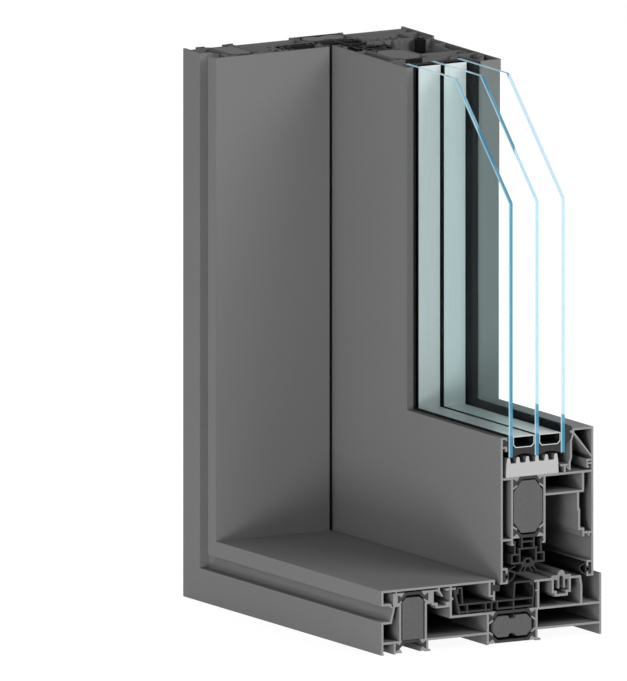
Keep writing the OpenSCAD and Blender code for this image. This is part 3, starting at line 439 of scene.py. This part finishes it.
def coated_float_glass(colours, sizes):
    """Float glass with an anti-reflection coat: clear with a breath of green, hardly any mirror
    image, a pale blue ground edge with a painted highlight along its arris, and painted shade on
    the edges buried in the sash."""
    finish, tree, shader = begin("coated_float_glass")
    texture = add(tree, "ShaderNodeTexCoord", {})
    normal = add(tree, "ShaderNodeSeparateXYZ", {0: texture["Normal"]})
    depth = add(tree, "ShaderNodeSeparateXYZ", {0: texture["Object"]})["Y"]
    # The ground edges face along the sill, up, or between; the buried ones face the other way
    outward = add(tree, "ShaderNodeMath", {0: normal["X"], 1: normal["Z"]}, operation="ADD")[0]
    # Seen from within the glass, a face's normal is turned round, and this turns it back
    back = add(tree, "ShaderNodeNewGeometry", {})["Backfacing"]
    side = add(tree, "ShaderNodeMapRange", {"Value": back, "To Min": 1.0, "To Max": -1.0})[0]
    outward = add(tree, "ShaderNodeMath", {0: outward, 1: side}, operation="MULTIPLY")[0]
    edge = add(tree, "ShaderNodeMath", {0: outward, 1: EDGE_FACING}, operation="GREATER_THAN")[0]
    buried = add(tree, "ShaderNodeMath", {0: outward, 1: -EDGE_FACING}, operation="LESS_THAN")[0]
    solid = add(tree, "ShaderNodeMath", {0: edge, 1: buried}, operation="MAXIMUM")[0]
    inside = add(tree, "ShaderNodeMath", {0: depth, 1: PANE_FRONT}, operation="SUBTRACT")[0]
    inside = add(tree, "ShaderNodeMath", {0: inside, 1: PANE_PITCH}, operation="MODULO")[0]
    arris = add(tree, "ShaderNodeMapRange",
                {"Value": inside, "From Min": ARRIS_FADE * PANE_THICKNESS,
                 "From Max": ARRIS_END * PANE_THICKNESS, "To Min": 1.0, "To Max": 0.0})[0]
    # Painted highlight: an edge that faces up is painted paler all over, as if more light fell on
    # it
    upward = add(tree, "ShaderNodeMapRange",
                 {"Value": normal["Z"], "From Min": UPWARD_FROM, "From Max": UPWARD_TO,
                  "To Max": UPWARD_HIGHLIGHT})[0]
    arris = add(tree, "ShaderNodeMath", {0: arris, 1: upward}, operation="MAXIMUM")[0]
    # Painted highlight along the arris and on edges that face up
    rim = add(tree, "ShaderNodeMix", {0: arris, 6: colours.glass_edge, 7: colours.glass_arris_highlight},
              data_type="RGBA")[2]
    edge_cover_and_chamber_shade = add(tree, "ShaderNodeMapRange",
                {"Value": arris, "To Min": EDGE_COVER, "To Max": ARRIS_COVER})[0]
    sheet = add(tree, "ShaderNodeMix", {0: edge, 6: colours.glass, 7: rim}, data_type="RGBA")[2]
    fill(tree, shader, {
        # Painted shade: edges buried in the rebate are painted near black
        "Base Color": add(tree, "ShaderNodeMix", {0: buried, 6: sheet, 7: colours.shaded_buried_edge},
                          data_type="RGBA")[2],
        "Roughness": add(tree, "ShaderNodeMath", {0: edge, 1: 0.12}, operation="MULTIPLY")[0],
        "Transmission Weight": add(tree, "ShaderNodeMapRange",
                                   {"Value": solid, "To Min": 1.0, "To Max": 0.0})[0],
        # The ground edge is half see-through, and its painted highlight strip less
        "Alpha": add(tree, "ShaderNodeMix", {0: edge, 2: 1.0, 3: edge_cover_and_chamber_shade}, data_type="FLOAT")[0],
        # Float glass is 1.52; the coat brings the mirror image down to that of 1.05
        "IOR": 1.05,
    })
    return finish


def spacer_hollow_shade(tree, place):
    """1 on the inner walls of the two spacer bars, where painted shade goes, and 0 on their outer
    faces and sawn ends.
    """
    axis = add(tree, "ShaderNodeSeparateXYZ", {0: place})
    corner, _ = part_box("outer_spacer")
    # Height above the bar's underside, along the bottom and up the side alike
    along = add(tree, "ShaderNodeMath", {0: axis["X"], 1: corner.x}, operation="SUBTRACT")[0]
    above = add(tree, "ShaderNodeMath", {0: axis["Z"], 1: corner.z}, operation="SUBTRACT")[0]
    height = add(tree, "ShaderNodeMath", {0: along, 1: above}, operation="MINIMUM")[0]
    depth = add(tree, "ShaderNodeMath", {0: axis["Y"], 1: corner.y}, operation="SUBTRACT")[0]
    depth = add(tree, "ShaderNodeMath", {0: depth, 1: PANE_PITCH}, operation="MODULO")[0]
    end, top = sawn_faces(tree, place)
    cut = add(tree, "ShaderNodeMath", {0: end, 1: top}, operation="MAXIMUM")[0]
    inside = add(tree, "ShaderNodeMath", {0: 1.0, 1: cut}, operation="SUBTRACT")[0]
    for distance, extent in ((height, SPACER_HEIGHT), (depth, SPACER_WIDTH)):
        middle = add(tree, "ShaderNodeMath", {0: distance, 1: extent / 2}, operation="SUBTRACT")[0]
        off = add(tree, "ShaderNodeMath", {0: middle}, operation="ABSOLUTE")[0]
        near = add(tree, "ShaderNodeMath", {0: off, 1: extent / 2 - SPACER_SKIN},
                   operation="LESS_THAN")[0]
        inside = add(tree, "ShaderNodeMath", {0: inside, 1: near}, operation="MULTIPLY")[0]
    return inside


def satin_spacer_metal(colours, sizes):
    """Aluminium strip, rolled into a spacer bar and etched: a pale satin with fine rolling lines,
    black with butyl on the flanks, and painted shade on the inner walls and on the jamb's sawn top."""
    finish, tree, shader = begin("satin_spacer_metal")
    texture = add(tree, "ShaderNodeTexCoord", {})
    place = texture["Object"]
    lines = die_lines(tree, place, sizes.die_line)
    wall = toned(tree, colours.spacer, lines, 0.04)
    _, top = sawn_faces(tree, place)
    # Painted shade: the jamb's sawn top takes the darker grey of the bare metal
    wall = add(tree, "ShaderNodeMix", {0: top, 6: wall, 7: colours.shaded_top_metal}, data_type="RGBA")[2]
    across = add(tree, "ShaderNodeSeparateXYZ", {0: texture["Normal"]})["Y"]
    flank = add(tree, "ShaderNodeMath", {0: across}, operation="ABSOLUTE")[0]
    flank = add(tree, "ShaderNodeMath", {0: flank, 1: FACING}, operation="GREATER_THAN")[0]
    wall = add(tree, "ShaderNodeMix", {0: flank, 6: wall, 7: colours.butyl}, data_type="RGBA")[2]
    dull = add(tree, "ShaderNodeMath", {0: top, 1: flank}, operation="MAXIMUM")[0]
    # Painted shade: the inner walls of the bars take a dark grey
    hollow = spacer_hollow_shade(tree, place)
    gloss = add(tree, "ShaderNodeMapRange", {"Value": lines, "To Min": 0.38, "To Max": 0.5})[0]
    fill(tree, shader, {
        "Base Color": add(tree, "ShaderNodeMix", {0: hollow, 6: wall, 7: colours.spacer_hollow_shade},
                          data_type="RGBA")[2],
        "Metallic": add(tree, "ShaderNodeMapRange",
                        {"Value": dull, "To Min": 0.25, "To Max": 0.0})[0],
        "Roughness": add(tree, "ShaderNodeMix", {0: dull, 2: gloss, 3: 0.9}, data_type="FLOAT")[0],
        "Specular IOR Level": SATIN,
        "Normal": add(tree, "ShaderNodeBump",
                      {"Strength": 0.08, "Distance": 0.1 * MM, "Height": lines})[0],
    })
    return finish


def polysulphide_sealant(colours, sizes):
    """Polysulphide, gunned into the edge and struck off: dull black with soft lumps, and greyer
    where the sill's end is cut, while the jamb's cut top keeps the black skin as painted shade."""
    finish, tree, shader = begin("polysulphide_sealant")
    place = add(tree, "ShaderNodeTexCoord", {})["Object"]
    lumps = add(tree, "ShaderNodeTexNoise",
                {"Vector": place, "Scale": 1 / sizes.sealant_lump, "Detail": 2.0})["Fac"]
    # Only the sill's cut end is greyer; the jamb's cut top keeps the skin colour as painted shade
    end, _ = sawn_faces(tree, place)
    skin = toned(tree, colours.sealant, lumps, 0.1)
    core = toned(tree, colours.cut_rubber, lumps, 0.06)
    fill(tree, shader, {
        "Base Color": add(tree, "ShaderNodeMix", {0: end, 6: skin, 7: core}, data_type="RGBA")[2],
        "Roughness": 0.85,
        "IOR": 1.5,
        "Specular IOR Level": MATT,
        "Normal": add(tree, "ShaderNodeBump",
                      {"Strength": 0.25, "Distance": 0.3 * MM, "Height": lumps})[0],
    })
    return finish


def moulded_polypropylene(colours, sizes):
    """Polypropylene, moulded in a blasted tool: a waxy light grey with a fine even grain on the
    face that looks along the sill, and a darker grey of painted shade on all its other faces."""
    finish, tree, shader = begin("moulded_polypropylene")
    texture = add(tree, "ShaderNodeTexCoord", {})
    place = texture["Object"]
    facing = add(tree, "ShaderNodeSeparateXYZ", {0: texture["Normal"]})["X"]
    end = add(tree, "ShaderNodeMath", {0: facing, 1: FACING}, operation="GREATER_THAN")[0]
    grain = add(tree, "ShaderNodeTexNoise",
                {"Vector": place, "Scale": 1 / sizes.block_grain, "Detail": 3.0})["Fac"]
    # Painted shade: every face but the one along the sill takes the darker grey
    skin = toned(tree, colours.block_shaded_skin, grain, 0.03)
    sawn = toned(tree, colours.block, grain, 0.03)
    fill(tree, shader, {
        "Base Color": add(tree, "ShaderNodeMix", {0: end, 6: skin, 7: sawn}, data_type="RGBA")[2],
        "Roughness": add(tree, "ShaderNodeMapRange",
                         {"Value": grain, "To Min": 0.45, "To Max": 0.6})[0],
        "IOR": 1.49,
        "Specular IOR Level": 0.3,
        "Normal": add(tree, "ShaderNodeBump",
                      {"Strength": 0.12, "Distance": 0.1 * MM, "Height": grain})[0],
    })
    return finish


# The finish that each material slot of the record takes
FINISHES = {
    "coated_aluminium": powder_coated_aluminium,
    "rail_metal": anodised_aluminium,
    "polyamide": glass_fibre_polyamide,
    "foam": closed_cell_foam,
    "black_pvc": rigid_pvc,
    "epdm": epdm_rubber,
    "float_glass": coated_float_glass,
    "spacer_metal": satin_spacer_metal,
    "edge_sealant": polysulphide_sealant,
    "block_plastic": moulded_polypropylene,
}


def apply_finish(context, slot):
    """Makes the slot's finish from the scene's settings and puts it on the slot's pieces."""
    dress(slot, FINISHES[slot](context.scene.corner_colours, context.scene.corner_sizes))
    return {"FINISHED"}


class CORNER_OT_profiles(Operator):
    """Coat the shells, covers and beads"""

    bl_idname = "corner.profiles"
    bl_label = "Coated profiles"

    def execute(self, context):
        return apply_finish(context, "coated_aluminium")


class CORNER_OT_rails(Operator):
    """Anodise the running rails"""

    bl_idname = "corner.rails"
    bl_label = "Running rails"

    def execute(self, context):
        return apply_finish(context, "rail_metal")


class CORNER_OT_bars(Operator):
    """Finish the insulating bars that part the shells"""

    bl_idname = "corner.bars"
    bl_label = "Insulating bars"

    def execute(self, context):
        return apply_finish(context, "polyamide")


class CORNER_OT_cores(Operator):
    """Finish the foam cores between the bars"""

    bl_idname = "corner.cores"
    bl_label = "Foam cores"

    def execute(self, context):
        return apply_finish(context, "foam")


class CORNER_OT_inserts(Operator):
    """Finish the track inserts and the adaptors"""

    bl_idname = "corner.inserts"
    bl_label = "Track inserts and adaptors"

    def execute(self, context):
        return apply_finish(context, "black_pvc")


class CORNER_OT_gaskets(Operator):
    """Finish the gaskets and wipers"""

    bl_idname = "corner.gaskets"
    bl_label = "Gaskets and wipers"

    def execute(self, context):
        return apply_finish(context, "epdm")


class CORNER_OT_panes(Operator):
    """Finish the three panes"""

    bl_idname = "corner.panes"
    bl_label = "Panes"

    def execute(self, context):
        return apply_finish(context, "float_glass")


class CORNER_OT_spacers(Operator):
    """Finish the spacer bars between the panes"""

    bl_idname = "corner.spacers"
    bl_label = "Spacer bars"

    def execute(self, context):
        return apply_finish(context, "spacer_metal")


class CORNER_OT_edge_seals(Operator):
    """Finish the seals behind the spacer bars"""

    bl_idname = "corner.edge_seals"
    bl_label = "Edge seals"

    def execute(self, context):
        return apply_finish(context, "edge_sealant")


class CORNER_OT_block(Operator):
    """Finish the block that the panes stand on"""

    bl_idname = "corner.block"
    bl_label = "Glazing block"

    def execute(self, context):
        return apply_finish(context, "block_plastic")


def backdrop_rays(tree, through_glass):
    """Two sockets: 1 for a ray that sees the backdrop straight, by mirror or through glass, and
    the backdrop's strength for it. A ray that has touched a matt face gets 0, so that the white
    backdrop lights nothing."""
    path = add(tree, "ShaderNodeLightPath", {})
    mirror = add(tree, "ShaderNodeMath", {0: path["Is Camera Ray"], 1: path["Is Glossy Ray"]},
                 operation="MAXIMUM")[0]
    sharp = add(tree, "ShaderNodeMath", {0: mirror, 1: path["Is Transmission Ray"]},
                operation="MAXIMUM")[0]
    # The depth is a whole number, so this asks whether it is 0
    clear = add(tree, "ShaderNodeMath", {0: path["Diffuse Depth"], 1: 0.5},
                operation="LESS_THAN")[0]
    seen = add(tree, "ShaderNodeMath", {0: sharp, 1: clear}, operation="MULTIPLY")[0]
    # The panes' tint is made up for, so that white is still white behind them
    strength = add(tree, "ShaderNodeMapRange", {"Value": path["Is Transmission Ray"],
                                                "To Min": 1.0, "To Max": through_glass})[0]
    return seen, strength


def white_surround(stage):
    """A world that lights evenly at the sky's level and looks white."""
    world = bpy.data.worlds.new("white_surround")
    world.use_nodes = True
    tree = world.node_tree
    seen, strength = backdrop_rays(tree, stage.through_glass)
    light = add(tree, "ShaderNodeBackground", {"Color": linear(WHITE), "Strength": stage.sky})
    look = add(tree, "ShaderNodeBackground", {"Color": linear(WHITE), "Strength": strength})
    both = add(tree, "ShaderNodeMixShader", {0: seen, 1: light[0], 2: look[0]})
    fill(tree, tree.nodes["World Output"], {"Surface": both[0]})
    return world


def pale_floor(stage):
    """A round matt floor that looks nearly white and keeps a faint shadow."""
    mesh = bpy.data.meshes.new("floor")
    shape = bmesh.new()
    bmesh.ops.create_circle(shape, cap_ends=True, segments=FLOOR_SIDES, radius=stage.floor_radius)
    shape.to_mesh(mesh)
    shape.free()
    floor = bpy.data.objects.new("floor", mesh)
    floor.location.z = CAD_BOX[0].z - FLOOR_DROP
    bpy.context.scene.collection.objects.link(floor)
    finish, tree, shader = begin("matt_paint_floor")
    place = add(tree, "ShaderNodeTexCoord", {})["Object"]
    grain = add(tree, "ShaderNodeTexNoise", {"Vector": place, "Scale": 1 / FLOOR_GRAIN})["Fac"]
    fill(tree, shader, {
        "Base Color": toned(tree, linear(FLOOR_PAINT), grain, 0.01),
        "Roughness": 0.9,
        "Specular IOR Level": 0.1,
    })
    seen, strength = backdrop_rays(tree, stage.through_glass)
    share = add(tree, "ShaderNodeMath", {0: seen, 1: FLOOR_WHITE}, operation="MULTIPLY")[0]
    glow = add(tree, "ShaderNodeMath", {0: strength, 1: FLOOR_GLOW}, operation="MULTIPLY")[0]
    look = add(tree, "ShaderNodeEmission", {"Strength": glow})[0]
    both = add(tree, "ShaderNodeMixShader", {0: share, 1: shader.outputs[0], 2: look})[0]
    fill(tree, tree.nodes["Material Output"], {"Surface": both})
    mesh.materials.append(finish)
    return floor


def clear_of(pieces):
    """Blockers for a lamp that shines through these pieces, as through clear glass."""
    blockers = bpy.data.collections.new("lets_light_through")
    for piece in pieces:
        blockers.objects.link(piece)
    for entry in blockers.collection_objects:
        entry.light_linking.link_state = "EXCLUDE"
    return blockers


def soft_lamp(name, strength):
    """One of the lamps, which faces the middle of the sample."""
    towards, distance, size = LAMPS[name]
    name += "_lamp"
    data = bpy.data.lights.new(name, "AREA")
    data.shape = "RECTANGLE"
    data.size, data.size_y = size
    # A lamp of this power gives a facing white card the wanted share of white
    data.energy = strength * math.pi ** 2 * distance ** 2
    lamp = bpy.data.objects.new(name, data)
    way = Vector(towards).normalized()
    lamp.location = MIDDLE + way * distance
    lamp.rotation_mode = "QUATERNION"
    lamp.rotation_quaternion = way.to_track_quat("Z", "Y")
    lamp.visible_camera = False
    lamp.visible_transmission = False
    bpy.context.scene.collection.objects.link(lamp)
    return lamp


def parallel_camera(stage):
    """A camera without perspective, that looks at the cut corner from outdoors."""
    data = bpy.data.cameras.new("view")
    data.type = "ORTHO"
    data.ortho_scale = stage.view_height
    data.clip_end = CAMERA_REACH
    camera = bpy.data.objects.new("view", data)
    a, e = stage.azimuth, stage.elevation
    back = Vector((math.sin(a) * math.cos(e), -math.cos(a) * math.cos(e), math.sin(e)))
    right = Vector((math.cos(a), math.sin(a), 0))
    up = back.cross(right)
    camera.location = (MIDDLE + right * stage.view_right + up * stage.view_up
                       + back * CAMERA_DISTANCE)
    camera.rotation_mode = "QUATERNION"
    camera.rotation_quaternion = back.to_track_quat("Z", "Y")
    bpy.context.scene.collection.objects.link(camera)
    bpy.context.scene.camera = camera


class CORNER_OT_stage(Operator):
    """Set up the floor, the surround, the lamps and the camera"""

    bl_idname = "corner.stage"
    bl_label = "Stage"

    def execute(self, context):
        stage = context.scene.corner_stage
        context.scene.world = white_surround(stage)
        context.scene.view_settings.view_transform = "Standard"
        floor = pale_floor(stage)
        lamps = {name: soft_lamp(name, getattr(stage, name)) for name in LAMPS}
        panes = [frame["nodes"][name] for name in ("outer_pane", "middle_pane", "inner_pane")]
        blockers = clear_of([floor, *panes])
        for name in LAMPS_THROUGH:
            lamps[name].light_linking.blocker_collection = blockers
        parallel_camera(stage)
        return {"FINISHED"}


OPERATORS = (
    CORNER_OT_profiles,
    CORNER_OT_rails,
    CORNER_OT_bars,
    CORNER_OT_cores,
    CORNER_OT_inserts,
    CORNER_OT_gaskets,
    CORNER_OT_panes,
    CORNER_OT_spacers,
    CORNER_OT_edge_seals,
    CORNER_OT_block,
    CORNER_OT_stage,
)
SETTINGS = {
    "corner_colours": CornerColours,
    "corner_sizes": CornerSizes,
    "corner_stage": CornerStage,
}


class CORNER_PT_sample(Panel):
    """Settings of the corner sample, and the steps that finish it"""

    bl_label = "Corner sample"
    bl_space_type = "VIEW_3D"
    bl_region_type = "UI"
    bl_category = "Corner sample"

    def draw(self, context):
        for name, group in SETTINGS.items():
            column = self.layout.box().column()
            for setting in group.__annotations__:
                column.prop(getattr(context.scene, name), setting)
        for step in OPERATORS:
            self.layout.operator(step.bl_idname)


CLASSES = (*SETTINGS.values(), *OPERATORS, CORNER_PT_sample)


def register():
    for item in CLASSES:
        bpy.utils.register_class(item)
    for name, group in SETTINGS.items():
        setattr(bpy.types.Scene, name, PointerProperty(type=group))


def unregister():
    for name in SETTINGS:
        delattr(bpy.types.Scene, name)
    for item in reversed(CLASSES):
        bpy.utils.unregister_class(item)


def main():
    register()
    for step in OPERATORS:
        family, name = step.bl_idname.split(".")
        getattr(getattr(bpy.ops, family), name)()


if __name__ == "__main__":
    main()
